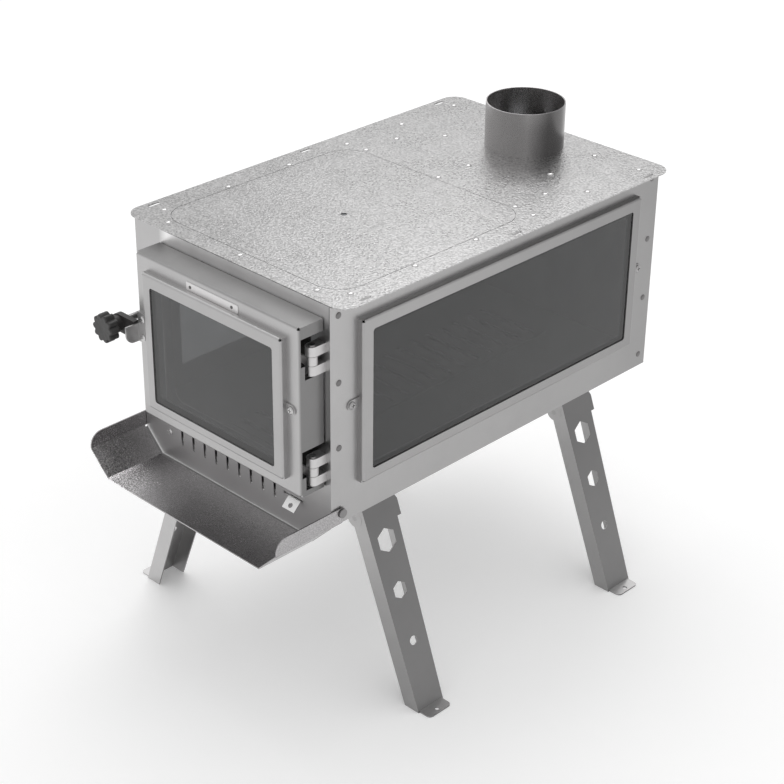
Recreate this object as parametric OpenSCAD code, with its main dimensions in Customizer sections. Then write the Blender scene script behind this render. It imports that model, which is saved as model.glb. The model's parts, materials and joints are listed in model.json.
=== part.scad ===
/* [Body] */
// Width of the body across the side panels
body_w = 230; // [220:1:260]
// Depth of the body from front panel to rear panel
body_d = 400; // [380:1:460]
// Height of the side panels
body_h = 195; // [190:1:230]
// Thickness of the sheet metal
sheet_t = 1; // [0.8:0.1:1.2]
// Overhang of the top plate past each side
top_overhang = 15; // [10:1:30]
// Corner radius of the top plate
top_corner_r = 15; // [5:1:25]
// Depth of the apron below the front panel
apron_h = 19.5; // [17:0.5:24]
// Height of the firebox floor above the bottom edge
floor_z = 24; // [22:1:40]

/* [Cooktop and flue] */
// Distance from the side of the body to the cooktop lid
lid_side = 9; // [9:0.5:14]
// Distance from the front edge to the lid
lid_front = 18; // [16:1:22]
// Distance from the lid to the rear edge
lid_rear = 165; // [165:1:190]
// Corner radius of the lid
lid_r = 25; // [10:1:40]
// Outer radius of the flue collar
collar_r = 35.5; // [30:0.5:40]
// Height of the flue collar above the top plate
collar_h = 40.6; // [25:1:60]
// Distance from the rear edge to the flue axis
flue_back = 48.5; // [45:0.5:60]

/* [Door] */
// Distance from the door to the body's left edge
door_left = 32; // [30:0.5:40]
// Distance from the door to the body's right edge
door_side = 6.5; // [6:0.5:8]
// Height of the door's lower edge above the bottom edge
door_z = 36; // [35:0.5:40]
// Distance from the door to the top plate
door_top = 11; // [8:0.5:16]
// Depth of the door pan
door_depth = 25.5; // [22:0.5:32]
// Radius of the hinge barrels
barrel_r = 4.9; // [4:0.1:5.2]
// Length of one hinge knuckle
knuckle_h = 8.1; // [7:0.1:10]
// Radius of the hinge pins
hinge_pin_r = 2; // [1.5:0.1:2.5]

/* [Windows] */
// Depth of the formed window frames
frame_depth = 6; // [5.5:0.5:9]
// Width of the frame's face beside the glass
frame_rim = 11; // [8:0.5:12]
// Thickness of the glass
glass_t = 4; // [3:0.5:4]
// Radius of the corners of a window opening
window_r = 2.5; // [2:0.5:8]

/* [Latch] */
// Height of the latch axis above the bottom edge
latch_z = 114; // [100:1:125]
// Radius of the star knob
knob_r = 13; // [11:0.5:15]
// Thickness of the star knob
knob_t = 10; // [7:0.5:12]
// Number of lobes on the star knob
knob_lobes = 10; // [6:1:12]

/* [Air damper] */
// Number of air slots
slot_n = 9; // [5:1:9]
// Distance from the body's left edge to the first air slot
slot_left = 48; // [46:1:60]
// Distance from the body's right edge to the last air slot
slot_right = 66; // [66:1:80]
// Width of an air slot
slot_w = 2.8; // [2:0.2:4]
// Height of the air slots
slot_h = 15.4; // [13:0.2:16]

/* [Front tray] */
// Reach of the tray ahead of the front panel
tray_reach = 60; // [40:1:62]
// Height of the tray's side lips above the bottom edge
tray_lip_h = 14.5; // [12:0.5:14.5]

/* [Legs] */
// Length of a leg along its web
leg_len = 182; // [150:1:200]
// Outward lean of the legs in degrees
leg_lean = 20.8; // [10:0.2:24]
// Width of a leg at its head
leg_head_w = 35.1; // [30:0.5:36]
// Width of a leg at its foot
leg_foot_w = 29.4; // [24:0.5:31]
// Depth of the leg's flanges
leg_flange = 15; // [14:0.5:18]
// Thickness of the leg's sheet
leg_t = 1.2; // [1:0.1:1.5]
// Distance from the front panel to the middle of the right front leg
leg_front_y = 52.35; // [52:0.5:60]
// Distance between the middles of the front and rear legs
leg_spacing = 249.25; // [220:1:280]
// Inset of the left legs from the left side panel
left_leg_inset = 46.5; // [44:0.5:60]

/* [Hidden] */
$fn = 48;

// Cuts run past the faces that they go through by this much
over = 1;
// Radial clearance of a pin in its bore
pin_fit = 0.05;
// Running gap between pieces that slide or turn past each other
gap = 0.4;
// Outer radius of a bend in the sheet
bend_r = 2;

// Body
half_w = body_w / 2;
flange_w = 15;
corner_flange = 17;
rear_flange = flue_back - collar_r - 1.5;
inner_x = half_w - sheet_t;
seat_z = body_h - sheet_t;

// Fasteners
rivet_r = 1.6;
rivet_head_r = 3;
rivet_head_h = 1.1;
rivet_hole_r = rivet_r + pin_fit;
rivet_tail_r = 2.4;
side_rivet_inset = 9;
side_rivet_low = 12;
side_rivet_high = body_h - 0.8 * side_rivet_low;
side_rivet_zs = [for (i = [0 : 3]) side_rivet_low + i * (side_rivet_high - side_rivet_low) / 3];
top_edge_inset = 5;
top_edge_x = half_w - top_edge_inset;
top_edge_first = 26.5;
top_edge_last = 22.5;
top_edge_ys = [for (i = [0 : 5]) top_edge_first + i * (body_d - top_edge_last - top_edge_first) / 5];
row_inset = 27;
row_x = half_w - row_inset;
row_front_y = 12.5;

// Cooktop and flue
lid_gap = 0.5;
lid_half_w = half_w - lid_side;
lid_back = body_d - lid_rear;
lid_hole_r = 2.8;
row_seat_gap = 4.5;
row_seat_y = lid_back + row_seat_gap;
flue_y = body_d - flue_back;
collar_wall = 1;
collar_swage = 0.4;
collar_neck_r = collar_r - collar_swage;
collar_foot = 9;
collar_rivet_x = 62.5;
collar_rivet_front = 36.9;
collar_rivet_rear = 23.5;
collar_rivet_ys = [flue_y - collar_rivet_front, flue_y + collar_rivet_rear];
doubler_side = 12;
doubler_front = 48;
doubler_rear = 33;
seat_overlap = 8;
seat_strip_w = 19;
plate_slot_len = 12;
plate_slot_w = 3.4;
plate_slot_inset = 6;
plate_slot_end = 28;
plate_slot_ys = [plate_slot_end, body_d / 2, body_d - plate_slot_end];
baffle_ahead = 73.5;
baffle_row_y = flue_y - baffle_ahead;
baffle_h = 42;
baffle_foot = 18;

// Grate
grate_half_w = 40;
grate_front = 28.5;
grate_back_gap = 55;
grate_back = body_d - grate_back_gap;
grate_t = 1.5;
grate_slot_w = 5;
grate_slots = 17;
grate_rim = 8;
grate_slot_pitch = (grate_back - grate_front - 2 * grate_rim - grate_slot_w) / (grate_slots - 1);
grate_seat = 4;
floor_front = 23;

// Door
door_x1 = half_w - door_side;
door_x0 = door_left - half_w;
door_w = door_x1 - door_x0;
door_mid = (door_x0 + door_x1) / 2;
door_z1 = body_h - door_top;
door_h = door_z1 - door_z;
door_gap = 0.5;
door_swing_gap = 1;
door_face = -(door_gap + door_depth);
opening_side = 12;
opening_hinge_side = 14.5;
opening_end = 8;
opening_x0 = door_x0 + opening_side;
opening_x1 = door_x1 - opening_hinge_side;
opening_z0 = door_z + opening_end;
opening_z1 = door_z1 - opening_end;
opening_r = 10;
door_frame_side = 13.5;
door_frame_hinge_side = 14;
door_frame_low = 13;
door_frame_high = 12;
door_frame_x0 = door_x0 + door_frame_side;
door_frame_x1 = door_x1 - door_frame_hinge_side;
door_frame_z0 = door_z + door_frame_low;
door_frame_z1 = door_z1 - door_frame_high;
door_rim = 9.5;
door_rim_low = 8;
door_rim_high = 10.5;

// Glass sits between the gasket and the face of its frame
glass_side = 1.5;
gasket_t = frame_depth - sheet_t - glass_t;
gasket_lap = 3.5;

// Side windows
side_win_end = 29.5;
side_win_low = 31;
side_win_high = 19.5;
side_win_y0 = side_win_end;
side_win_y1 = body_d - side_win_end;
side_win_z0 = side_win_low;
side_win_z1 = body_h - side_win_high;
rim_low = 9.5;
rim_high = 10.5;
ear_r = 4.5;
ear_reach = 7.5;
door_ear_reach = 5.4;
door_ear_up = 1.3;
screw_r = 1.9;
screw_head_r = 3.2;
screw_head_h = 1.6;
screw_tail = 3;

// Hinges
hinge_inset = 3;
hinge_out = 10.4;
hinge_x = door_x1 - hinge_inset;
hinge_y = -hinge_out;
hinge_stack = 3 * knuckle_h;
hinge_low = 6;
hinge_top = 20.2;
hinge_zs = [door_z + hinge_low, door_z1 - hinge_top - hinge_stack];
hinge_head = 1;
notch_high = 10;
notch_step = 10.5;
notch_depth = 20;
leaf_t = 1.5;
leaf_reach = 7.8;
leaf_foot = 9;
leaf_h = knuckle_h - 2 * gap;

// Latch
latch_out = 22;
latch_x = door_x0 - latch_out;
latch_leaf_w = 11.5;
latch_leaf_below = 10;
latch_leaf_z0 = latch_z - latch_leaf_below;
latch_leaf_h = 27;
latch_t = 1.5;
latch_ear_reach = 14;
latch_rivet_in = 6;
latch_rivet_low = 5;
latch_rivet_high = 11.3;
latch_rivet_zs = [latch_z - latch_rivet_low, latch_z + latch_rivet_high];
arm_t = 5;
arm_half_h = 8;
boss_r = 7;
boss_h = 7;
shaft_r = 3;
collar_t = 2;
knob_reach = 22;
knob_face = door_face - knob_reach;
knob_dish = 1;
lobe_share = 0.9;
knob_socket = 3;
tongue_t = 3;
tongue_gap = 3.5;
tongue_y1 = -tongue_gap;
tongue_reach = 13;
tongue_half = 3;
keeper_w = 16;
keeper_x0 = latch_x - keeper_w / 2;
keeper_base_h = 20;
keeper_below = 16;
keeper_z = latch_z - keeper_below;
keeper_out = 8.5;
keeper_lip_h = 8;
keeper_rivet_in = 4;
keeper_t = 1;

// Air damper
slot_x0 = slot_left - half_w;
slot_pitch = (body_w - slot_left - slot_right) / (slot_n - 1);
slot_below = 0.4;
slot_z0 = -slot_below;
damper_gap = 0.3;
damper_lap = 2;
damper_y0 = sheet_t + damper_gap;
damper_z0 = sheet_t + damper_gap;
slide_lap = 1.5;
damper_h = slot_z0 + slot_h + slide_lap - damper_z0;
damper_slot_rise = 1.7;
damper_slot_z0 = damper_z0 + damper_slot_rise;
damper_slot_h = slot_z0 + slot_h - gap - damper_slot_z0;
damper_side = 6;
damper_x0 = slot_x0 - damper_side;
damper_travel = slot_pitch / 2;
tab_right = 47.5;
tab_x0 = half_w - tab_right;
tab_w = 14;
damper_x1 = tab_x0 + tab_w + damper_lap;
tab_len = 10.5;
tab_z = 9.3;
tab_out = 1.5;
tab_hole_r = 2.2;
tab_hole_at = 6.6;
slit_room = 0.6;
guide_lip = 4;
guide_rise = 5;
guide_side = 10;
guide_lug_w = 5;
guide_lug_top = 10.5;
guide_x0 = damper_x0 - guide_side - guide_lug_w / 2;
guide_x1 = damper_x1 + guide_side;
guide_back = damper_y0 + 2 * sheet_t + damper_gap;
slide_top = damper_z0 + damper_h;
guide_rivet_z = slide_top + (guide_rise + damper_gap) / 2;
guide_rivet_low = 6.7;
guide_rivet_in = 8;
guide_rivet_right = 17.5;
guide_rivets = [[guide_x0 + guide_lug_w / 2, guide_rivet_low], [guide_x0 + guide_rivet_in, guide_rivet_z],
    [guide_x1 - guide_rivet_right, guide_rivet_z]];

// Front tray
tray_floor_side = 20;
tray_floor_half = half_w - tray_floor_side;
tray_lip_x = half_w + gap;
tray_rise = tray_lip_x - tray_floor_half;
tray_kink_z = tray_rise - apron_h;
tray_bevel = sheet_t * tan(22.5);
tray_rear = 2;
apron_lap = 2.5;
apron_end = -apron_h - sheet_t - apron_lap;
apron_end_x = tray_floor_half + tray_bevel - apron_lap;
apron_slope_z = apron_end + inner_x - apron_end_x;
tray_pivot_y = 11;
tray_pivot_z = 9.7;
tray_corner_r = 12;
tray_pin_r = 2;
tray_pin_head_r = 4;
tray_pin_head_h = 1.2;
tray_ear_r = 4.8;
lip_slot_y = 2.7;
lip_slot_len = 8;
lip_slot_z = tray_lip_h + 0.4;
lip_slot_h = 1.4;

// Legs
leg_pivot_in = 8.5;
leg_pivot_down = 11;
leg_edge = 0.5;
leg_web_x = half_w - leg_edge;
left_web_x = leg_web_x - left_leg_inset;
fold_gap = 1.35;
leg_drop = leg_len * cos(leg_lean);
leg_spread = leg_len * sin(leg_lean);
leg_pin_r = 2.5;
leg_ear_r = 8;
pivot_n = -leg_pivot_in * cos(leg_lean) - leg_pivot_down * sin(leg_lean);
pivot_s = leg_pivot_in * sin(leg_lean) - leg_pivot_down * cos(leg_lean);
leg_stagger = (leg_head_w + leg_foot_w) / 2 + fold_gap;
left_leg_front_y = leg_front_y - leg_stagger;
shoulder_out = 4;
shoulder_h = 18;
big_hex_r = 10.5;
big_hex_s = 32.4;
small_hex_r = 7.7;
small_hex_s = 76.6;
web_hole_r = 4;
web_hole_s = 122.2;
foot_out = 11.4;
foot_w = 26.5;
foot_r = 4;
foot_hole_r = 2;
foot_hole_out = 7;
bracket_t = 1;
bracket_in = 6.5;
bracket_out = 5.5;
bracket_h = 17.5;
bracket_half = leg_head_w / 2 - leg_t - gap;

// The origin is the middle of the footprint, on the floor
span_x1 = leg_web_x + leg_spread + foot_out;
span_x0 = -(left_web_x + leg_spread + foot_out);
mid_x = (span_x0 + span_x1) / 2;
mid_y = (body_d - tray_reach) / 2;
lift = leg_drop;

// Moves a piece from body coordinates to the frame on the floor
module placed() {
    translate([-mid_x, -mid_y, lift]) children();
}

// Outline of a rectangle with round corners
module round_rect(lo, hi, r) {
    translate([lo[0] + r, lo[1]]) square([hi[0] - lo[0] - 2 * r, hi[1] - lo[1]]);
    translate([lo[0], lo[1] + r]) square([hi[0] - lo[0], hi[1] - lo[1] - 2 * r]);
    for (x = [lo[0] + r, hi[0] - r], y = [lo[1] + r, hi[1] - r]) translate([x, y]) circle(r);
}

// Outline of a plain rectangle
module rect(lo, hi) {
    translate(lo) square([hi[0] - lo[0], hi[1] - lo[1]]);
}

// Sheet that lies flat, from height z up
module sheet_xy(z, t) {
    translate([0, 0, z]) linear_extrude(t) children();
}

// Sheet that faces the front, from depth y back, its outline drawn as x and z
module sheet_xz(y, t) {
    translate([0, y + t, 0]) rotate([90, 0, 0]) linear_extrude(t) children();
}

// Sheet that faces the side, from x outward, its outline drawn as y and z
module sheet_yz(x, t) {
    translate([x, 0, 0]) rotate([90, 0, 90]) linear_extrude(t) children();
}

// Block between two corners
module block(lo, hi) {
    translate(lo) cube(hi - lo);
}

// Round bar along Y, from y0 to y1
module bar_y(x, z, r, y0, y1) {
    translate([x, y1, z]) rotate([90, 0, 0]) cylinder(h = y1 - y0, r = r);
}

// Round bar along X, from x0 to x1
module bar_x(y, z, r, x0, x1) {
    translate([x0, y, z]) rotate([0, 90, 0]) cylinder(h = x1 - x0, r = r);
}

// Round bar along Z, from z0 to z1
module bar_z(x, y, r, z0, z1) {
    translate([x, y, z0]) cylinder(h = z1 - z0, r = r);
}

// Section of a bent face: flat in the middle, with a quarter bend at each end
module bent_face(w, d, t) {
    translate([-w / 2 + bend_r, d - t]) square([w - 2 * bend_r, t]);
    for (side = [0, 1]) mirror([side, 0]) translate([w / 2 - bend_r, d - bend_r]) intersection() {
        difference() {
            circle(bend_r);
            circle(bend_r - t);
        }
        square(bend_r);
    }
}

// Folded pan that opens downward, with bends round its face and a relief at each corner
module folded_pan(w, h, d, t) {
    linear_extrude(d - bend_r) difference() {
        square([w, h], center = true);
        square([w - 2 * t, h - 2 * t], center = true);
    }
    translate([0, h / 2 - bend_r, 0]) rotate([90, 0, 0]) linear_extrude(h - 2 * bend_r) bent_face(w, d, t);
    translate([-w / 2 + bend_r, 0, 0]) rotate([90, 0, 90]) linear_extrude(w - 2 * bend_r)
        bent_face(h, d, t);
}

// Rivet along Z with a domed head above zero, and its tail under the grip
module rivet(grip) {
    cylinder(h = rivet_head_h / 2, r = rivet_head_r);
    translate([0, 0, rivet_head_h / 2])
        cylinder(h = rivet_head_h / 2, r1 = rivet_head_r, r2 = rivet_head_r / 2);
    translate([0, 0, -grip]) cylinder(h = grip, r = rivet_r);
    translate([0, 0, -grip - rivet_head_h / 2]) cylinder(h = rivet_head_h / 2, r = rivet_tail_r);
}

// Pan head screw along Z with its head above zero
module screw(tail) {
    difference() {
        union() {
            cylinder(h = screw_head_h / 2, r = screw_head_r);
            translate([0, 0, screw_head_h / 2])
                cylinder(h = screw_head_h / 2, r1 = screw_head_r, r2 = screw_head_r * 0.7);
        }
        for (turn = [0, 90]) rotate(turn) translate([0, 0, screw_head_h])
            cube([screw_head_r * 1.2, screw_head_r / 4, screw_head_h], center = true);
    }
    translate([0, 0, -tail]) cylinder(h = tail, r = screw_r);
}

// Turns a fastener that points up so that it points to the right side
module facing_right(x, y, z) {
    translate([x, y, z]) rotate([0, 90, 0]) children();
}

// Turns a fastener that points up so that it points to the front
module facing_front(x, y, z) {
    translate([x, y, z]) rotate([90, 0, 0]) children();
}

// Repeats a right side piece on both sides
module both_sides() {
    for (side = [0, 1]) mirror([side, 0, 0]) children();
}

// Front panel
module front_panel() color("silver") placed() {
    difference() {
        union() {
            sheet_xz(0, sheet_t) polygon([[-inner_x, body_h], [-inner_x, apron_slope_z],
                [-apron_end_x, apron_end], [apron_end_x, apron_end],
                [inner_x, apron_slope_z], [inner_x, body_h]]);
            both_sides() block([inner_x - sheet_t, sheet_t, sheet_t],
                [inner_x, sheet_t + corner_flange, seat_z]);
            block([-inner_x + flange_w, sheet_t, seat_z],
                [inner_x - flange_w, lid_front + seat_overlap, body_h]);
        }
        sheet_xz(-over, sheet_t + 2 * over) {
            round_rect([opening_x0, opening_z0], [opening_x1, opening_z1], opening_r);
            for (i = [0 : slot_n - 1]) translate([slot_x0 + i * slot_pitch, slot_z0])
                round_rect([-slot_w / 2, 0], [slot_w / 2, slot_h], slot_w / 2 - gap / 4);
            rect([tab_x0 - damper_travel - slit_room, tab_z - slit_room],
                [tab_x0 + tab_w + slit_room, tab_z + sheet_t + slit_room]);
        }
        front_rivet_places() cylinder(h = 4 * over, r = rivet_hole_r, center = true);
        keeper_rivet_places() cylinder(h = 4 * over, r = rivet_hole_r, center = true);
        for (x = [-row_x, 0, row_x]) bar_z(x, row_front_y, rivet_hole_r, seat_z - over, body_h + over);
        both_sides() {
            for (z = side_rivet_zs)
                bar_x(side_rivet_inset, z, rivet_hole_r, inner_x - 2 * over, inner_x + over);
            bar_x(tray_pivot_y, tray_pivot_z, tray_pin_r + pin_fit, inner_x - 2 * over, inner_x + over);
        }
    }
}

// Small rivets that hold the damper guides to the front panel
module front_rivet_places() {
    for (at = guide_rivets) facing_front(at[0], 0, at[1]) children();
}

// Rivets of the latch keeper
module keeper_rivet_places() {
    for (x = [keeper_x0 + keeper_rivet_in, keeper_x0 + keeper_w - keeper_rivet_in])
        facing_front(x, -keeper_t, keeper_z - keeper_base_h / 2) children();
}

// Side panel on the right, with its window opening
module side_panel() color("silver") difference() {
    union() {
        sheet_yz(inner_x, sheet_t) rect([0, 0], [body_d, body_h]);
        block([inner_x - flange_w + gap, sheet_t + gap, seat_z], [inner_x, body_d - sheet_t - gap, body_h]);
    }
    sheet_yz(inner_x - over, sheet_t + 2 * over) {
        round_rect([side_win_y0 + frame_rim + gasket_lap, side_win_z0 + rim_low + gasket_lap],
            [side_win_y1 - frame_rim - gasket_lap, side_win_z1 - rim_high - gasket_lap], window_r);
        rect([lip_slot_y, lip_slot_z], [lip_slot_y + lip_slot_len, lip_slot_z + lip_slot_h]);
    }
    for (z = side_rivet_zs, y = [side_rivet_inset, body_d - side_rivet_inset])
        bar_x(y, z, rivet_hole_r, inner_x - over, half_w + over);
    bar_x(tray_pivot_y, tray_pivot_z, tray_pin_r + pin_fit, inner_x - over, half_w + over);
    for (y = [side_win_y0 - ear_reach, side_win_y1 + ear_reach])
        bar_x(y, side_ear_z, screw_r + pin_fit, inner_x - over, half_w + over);
    for (y = top_edge_ys) bar_z(top_edge_x, y, rivet_hole_r, seat_z - over, body_h + over);
}
side_ear_z = (side_win_z0 + side_win_z1) / 2;

module side_panel_right() placed() side_panel();
module side_panel_left() placed() mirror([1, 0, 0]) side_panel();

// Rear panel, folded forward at its sides and top
module rear_panel() color("silver") placed() difference() {
    union() {
        sheet_xz(body_d - sheet_t, sheet_t) rect([-inner_x, 0], [inner_x, body_h]);
        both_sides() block([inner_x - sheet_t, body_d - sheet_t - corner_flange, sheet_t],
            [inner_x, body_d - sheet_t, seat_z]);
        block([-inner_x + flange_w, body_d - rear_flange, seat_z], [inner_x - flange_w, body_d, body_h]);
    }
    both_sides() for (z = side_rivet_zs)
        bar_x(body_d - side_rivet_inset, z, rivet_hole_r, inner_x - 2 * over, inner_x + over);
}

// Bottom panel between the side panels
module bottom_panel() color("silver") placed() {
    sheet_xy(0, sheet_t) rect([-inner_x, sheet_t], [inner_x, body_d - sheet_t]);
}

// Top plate with the cooktop opening and the flue hole
module top_plate() color("gainsboro") placed() difference() {
    sheet_xy(body_h, sheet_t)
        round_rect([-half_w - top_overhang, 0], [half_w + top_overhang, body_d], top_corner_r);
    sheet_xy(body_h - over, sheet_t + 2 * over) {
        round_rect([-lid_half_w - lid_gap, lid_front - lid_gap], [lid_half_w + lid_gap, lid_back + lid_gap],
            lid_r + lid_gap);
        translate([0, flue_y]) circle(collar_neck_r + pin_fit);
        for (side = [-1, 1], y = plate_slot_ys)
            translate([side * (half_w + top_overhang - plate_slot_inset), y])
                round_rect([-plate_slot_w / 2, -plate_slot_len / 2], [plate_slot_w / 2, plate_slot_len / 2],
                    plate_slot_w / 2 - gap / 4);
    }
    top_rivet_places() cylinder(h = 4 * over, r = rivet_hole_r, center = true);
}

// Where the rivets of the top plate sit
module top_rivet_places() {
    for (side = [-1, 1], y = top_edge_ys) translate([side * top_edge_x, y, body_h + sheet_t]) children();
    for (x = [-row_x, 0, row_x], y = [row_front_y, row_seat_y, baffle_row_y])
        translate([x, y, body_h + sheet_t]) children();
    for (side = [-1, 1], y = collar_rivet_ys)
        translate([side * collar_rivet_x, y, body_h + sheet_t]) children();
}

// Strip under the top plate that carries the rear edge of the lid
module lid_seat_strip() color("silver") placed() difference() {
    sheet_xy(seat_z, sheet_t) rect([-inner_x + flange_w, lid_back - seat_overlap],
        [inner_x - flange_w, lid_back - seat_overlap + seat_strip_w]);
    for (x = [-row_x, 0, row_x]) bar_z(x, row_seat_y, rivet_hole_r, seat_z - over, body_h + over);
}

// Plate that stiffens the top round the flue, with a ring that grips the collar's foot
module flue_doubler() color("silver") placed() difference() {
    union() {
        sheet_xy(seat_z, sheet_t) rect([-collar_rivet_x - doubler_side, flue_y - doubler_front],
            [collar_rivet_x + doubler_side, flue_y + doubler_rear]);
        bar_z(0, flue_y, collar_r + collar_foot, seat_z - sheet_t, seat_z);
    }
    bar_z(0, flue_y, collar_neck_r + pin_fit, seat_z - 2 * sheet_t, body_h + over);
    for (side = [-1, 1], y = collar_rivet_ys)
        bar_z(side * collar_rivet_x, y, rivet_hole_r, seat_z - over, body_h + over);
}

// Round flue collar, its swaged neck through the top plate and the doubler
module flue_collar() color("gray") placed() difference() {
    union() {
        bar_z(0, flue_y, collar_r, body_h + sheet_t, body_h + sheet_t + collar_h);
        bar_z(0, flue_y, collar_neck_r, seat_z - sheet_t, body_h + sheet_t + over);
    }
    bar_z(0, flue_y, collar_r - collar_wall, seat_z - 2 * sheet_t, body_h + collar_h + 2 * over);
}

// Bent plate that hangs ahead of the flue
module baffle() color("dimgray") placed() difference() {
    union() {
        block([-inner_x + flange_w, baffle_row_y - baffle_foot / 2, seat_z],
            [inner_x - flange_w, baffle_row_y + baffle_foot / 2, body_h]);
        block([-inner_x + flange_w, baffle_row_y - baffle_foot / 2, body_h - baffle_h],
            [inner_x - flange_w, baffle_row_y - baffle_foot / 2 + sheet_t, body_h]);
    }
    for (x = [-row_x, 0, row_x]) bar_z(x, baffle_row_y, rivet_hole_r, seat_z - over, body_h + over);
}

// Floor of the firebox, folded down along its sides, with the ash opening under the grate
module firebox_floor() color("dimgray") placed() difference() {
    union() {
        sheet_xy(floor_z - sheet_t, sheet_t) rect([-inner_x, floor_front],
            [inner_x, body_d - sheet_t - corner_flange]);
        both_sides() block([inner_x - sheet_t, floor_front, sheet_t],
            [inner_x, body_d - sheet_t - corner_flange, floor_z]);
    }
    sheet_xy(floor_z - sheet_t - over, sheet_t + 2 * over)
        rect([-grate_half_w + grate_seat, grate_front + grate_seat],
            [grate_half_w - grate_seat, grate_back - grate_seat]);
}

// Slotted grate that lies on the firebox floor
module grate() color("dimgray") placed() difference() {
    sheet_xy(floor_z, grate_t) rect([-grate_half_w, grate_front], [grate_half_w, grate_back]);
    sheet_xy(floor_z - over, grate_t + 2 * over) for (i = [0 : grate_slots - 1])
        translate([0, grate_front + grate_rim + i * grate_slot_pitch])
            rect([-grate_half_w + grate_rim, 0], [grate_half_w - grate_rim, grate_slot_w]);
}

// Formed window frame, drawn flat with its open side down
module window_frame(w, h, opening_lo, opening_hi) difference() {
    folded_pan(w, h, frame_depth, sheet_t);
    linear_extrude(frame_depth + over) round_rect(opening_lo, opening_hi, window_r);
}

// Ear of a window frame, flat against the panel, with its screw hole
module frame_ear(reach) difference() {
    union() {
        translate([reach, 0, 0]) cylinder(h = sheet_t, r = ear_r);
        translate([-sheet_t, -ear_r, 0]) cube([reach + sheet_t, 2 * ear_r, sheet_t]);
    }
    translate([reach, 0, -over]) cylinder(h = sheet_t + 2 * over, r = screw_r + pin_fit);
}

side_win_w = side_win_y1 - side_win_y0;
side_win_h = side_win_z1 - side_win_z0;
side_win_mid_y = (side_win_y0 + side_win_y1) / 2;

// Places a flat drawn piece on the right side panel
module on_right_side() {
    translate([half_w, side_win_mid_y, side_ear_z]) rotate([90, 0, 90]) children();
}

// Frame of a side window
module side_window_frame() color("silver") on_right_side() {
    window_frame(side_win_w, side_win_h,
        [-side_win_w / 2 + frame_rim, -side_win_h / 2 + rim_low],
        [side_win_w / 2 - frame_rim, side_win_h / 2 - rim_high]);
    for (turn = [0, 180]) rotate(turn) translate([side_win_w / 2, 0, 0]) frame_ear(ear_reach);
}
module window_frame_right() placed() side_window_frame();
module window_frame_left() placed() mirror([1, 0, 0]) side_window_frame();

// Pane between the gasket and the face of a window frame
module pane(w, h) {
    translate([0, 0, gasket_t]) linear_extrude(glass_t)
        round_rect([-w / 2 + sheet_t + glass_side, -h / 2 + sheet_t + glass_side],
            [w / 2 - sheet_t - glass_side, h / 2 - sheet_t - glass_side], window_r / 2);
}

// Flat seal behind a pane
module seal(w, h, lo, hi) {
    linear_extrude(gasket_t) difference() {
        round_rect([-w / 2 + sheet_t + glass_side, -h / 2 + sheet_t + glass_side],
            [w / 2 - sheet_t - glass_side, h / 2 - sheet_t - glass_side], window_r / 2);
        round_rect(lo, hi, window_r);
    }
}
module window_glass_right() color("darkslategray", 0.5) placed() on_right_side() pane(side_win_w, side_win_h);
module window_glass_left() color("darkslategray", 0.5) placed() mirror([1, 0, 0]) on_right_side()
    pane(side_win_w, side_win_h);
module side_seal() on_right_side() seal(side_win_w, side_win_h,
    [-side_win_w / 2 + frame_rim + gasket_lap, -side_win_h / 2 + rim_low + gasket_lap],
    [side_win_w / 2 - frame_rim - gasket_lap, side_win_h / 2 - rim_high - gasket_lap]);
module window_gasket_right() color("black") placed() side_seal();
module window_gasket_left() color("black") placed() mirror([1, 0, 0]) side_seal();

// Rivets of the top plate
module top_rivets() color("silver") placed() top_rivet_places() rivet(2 * sheet_t);

// Rivets down the front and rear edges of both sides
module side_rivets() color("silver") placed() both_sides() {
    for (z = [side_rivet_zs[1], side_rivet_zs[2], side_rivet_zs[3]])
        facing_right(half_w, side_rivet_inset, z) rivet(2 * sheet_t);
    for (z = side_rivet_zs) facing_right(half_w, body_d - side_rivet_inset, z) rivet(2 * sheet_t);
}

// Rivets in the front panel: two of the damper guide and two of the latch keeper
module front_rivets() color("silver") placed() {
    front_rivet_places() rivet(guide_back);
    keeper_rivet_places() rivet(keeper_t + sheet_t);
}

// Screws in the ears of the side window frames
module frame_screws() color("gray") placed() both_sides()
    for (y = [side_win_y0 - ear_reach, side_win_y1 + ear_reach])
        facing_right(half_w + sheet_t, y, side_ear_z) screw(screw_tail);

// Fixed hinge blocks: a knuckle above and one below the door's own, on arms from the front panel
module hinge_blocks() color("silver") placed() for (z = hinge_zs, k = [0, 2]) {
    z0 = z + k * knuckle_h;
    difference() {
        union() {
            bar_z(hinge_x, hinge_y, barrel_r, z0, z0 + knuckle_h);
            block([hinge_x - barrel_r, hinge_y, z0], [hinge_x + barrel_r, 0, z0 + knuckle_h]);
        }
        bar_z(hinge_x, hinge_y, hinge_pin_r + pin_fit, z0 - over, z0 + knuckle_h + over);
    }
}

// Pins of the two hinges, with small heads
module hinge_pins() color("gray") placed() for (z = hinge_zs) {
    bar_z(hinge_x, hinge_y, hinge_pin_r, z, z + hinge_stack);
    bar_z(hinge_x, hinge_y, hinge_pin_r + hinge_head, z + hinge_stack, z + hinge_stack + hinge_head);
    bar_z(hinge_x, hinge_y, hinge_pin_r + hinge_head, z - hinge_head, z);
}

// Keeper that the latch tongue turns behind
module latch_keeper() color("silver") placed() difference() {
    union() {
        block([keeper_x0, -keeper_t, keeper_z - keeper_base_h], [keeper_x0 + keeper_w, 0, keeper_z]);
        block([keeper_x0, -keeper_out, keeper_z - keeper_t], [keeper_x0 + keeper_w, 0, keeper_z]);
        block([keeper_x0, -keeper_out, keeper_z - keeper_t],
            [keeper_x0 + keeper_w, -keeper_out + keeper_t, keeper_z + keeper_lip_h]);
    }
    keeper_rivet_places() cylinder(h = 4 * over, r = rivet_hole_r, center = true);
}

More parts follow.
